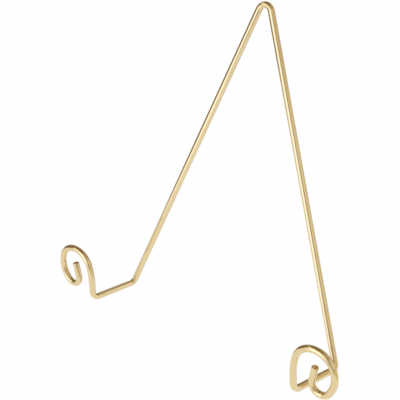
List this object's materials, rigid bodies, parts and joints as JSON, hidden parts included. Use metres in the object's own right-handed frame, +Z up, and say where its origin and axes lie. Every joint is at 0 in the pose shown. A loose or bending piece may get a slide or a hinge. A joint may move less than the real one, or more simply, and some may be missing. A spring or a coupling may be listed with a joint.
{
  "type": "wall plate holder",
  "caption": "Bent round-wire hanger that holds a display plate on a wall: a narrow inverted V whose feet turn forward into ledges, rise as uprights and end in outward scrolls.",
  "frame": {"origin": "on the wall's surface, at the height where a nail bears on the inside of the bend at the top, midway between the legs", "axes": "+X to the right as seen from the room, +Y into the wall, +Z up; the wall is the plane y = 0 and the backs of the legs lie on it"},
  "size_m": [0.2096, 0.0521, 0.2011],
  "materials": {
    "polished_brass": "polished"
  },
  "bodies": {
    "root": {"bent_wire": "polished_brass"}
  },
  "joints": []
}
